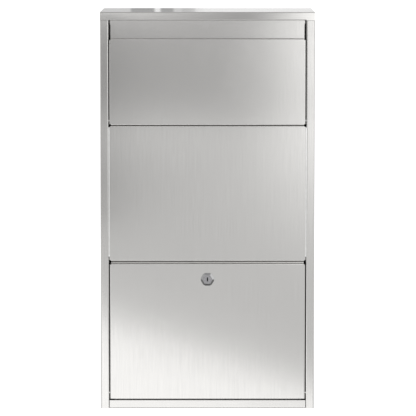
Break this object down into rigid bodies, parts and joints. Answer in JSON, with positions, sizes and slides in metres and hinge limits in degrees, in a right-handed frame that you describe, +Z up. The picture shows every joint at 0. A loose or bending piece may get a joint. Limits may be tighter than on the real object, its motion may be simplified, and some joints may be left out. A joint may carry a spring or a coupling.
{
  "type": "wall mounted mailbox",
  "caption": "Tall wall mailbox in folded stainless sheet with a tilt-out mail flap, a fixed middle panel and a lockable fold-down removal door.",
  "frame": {"origin": "centre of the wall face, which is also the centre of the four wall holes", "axes": "+Z up, +Y into the wall, so the front faces -Y, and +X to the right as seen from the front"},
  "size_m": [0.36, 0.214, 0.67],
  "materials": {
    "brushed_sheet": "fine vertical brushing, satin",
    "inner_sheet": "mill finish",
    "pin_steel": "turned",
    "lock_chrome": "polished bevels",
    "lock_zinc": "satin die casting",
    "bumper_rubber": "matt"
  },
  "bodies": {
    "casing": {"body_wrap": "brushed_sheet", "top_cover": "brushed_sheet", "bottom_panel": "brushed_sheet", "middle_front_panel": "brushed_sheet", "grip_fascia": "brushed_sheet", "anti_theft_baffle": "inner_sheet", "lock_strike": "inner_sheet", "door_sill": "inner_sheet", "flap_hinge_pin_left": "pin_steel", "flap_hinge_pin_right": "pin_steel", "door_hinge_pin_left": "pin_steel", "door_hinge_pin_right": "pin_steel", "flap_bumpers": "bumper_rubber", "door_bumpers": "bumper_rubber"},
    "flap": {"flap_panel": "brushed_sheet", "hopper_cheek_left": "inner_sheet", "hopper_cheek_right": "inner_sheet", "hopper_tray": "inner_sheet", "hopper_rivets": "pin_steel"},
    "door": {"door_panel": "brushed_sheet", "door_stiffener": "inner_sheet", "lock_rosette": "lock_chrome", "lock_barrel": "lock_zinc", "lock_nut": "lock_zinc"},
    "lock_core": {"lock_plug": "lock_zinc", "lock_cam": "pin_steel", "cam_screw": "pin_steel"}
  },
  "joints": [
    {"name": "flap_tilt", "type": "hinge", "parent": "casing", "child": "flap", "pos_m": [0, -0.2063, 0.1528], "axis": [1, 0, 0], "range_deg": [0, 45]},
    {"name": "door_fold", "type": "hinge", "parent": "casing", "child": "door", "pos_m": [0, -0.2063, -0.3083], "axis": [1, 0, 0], "range_deg": [0, 90]},
    {"name": "lock_turn", "type": "hinge", "parent": "door", "child": "lock_core", "pos_m": [0, -0.2063, -0.115], "axis": [0, 1, 0], "range_deg": [0, 90]}
  ]
}
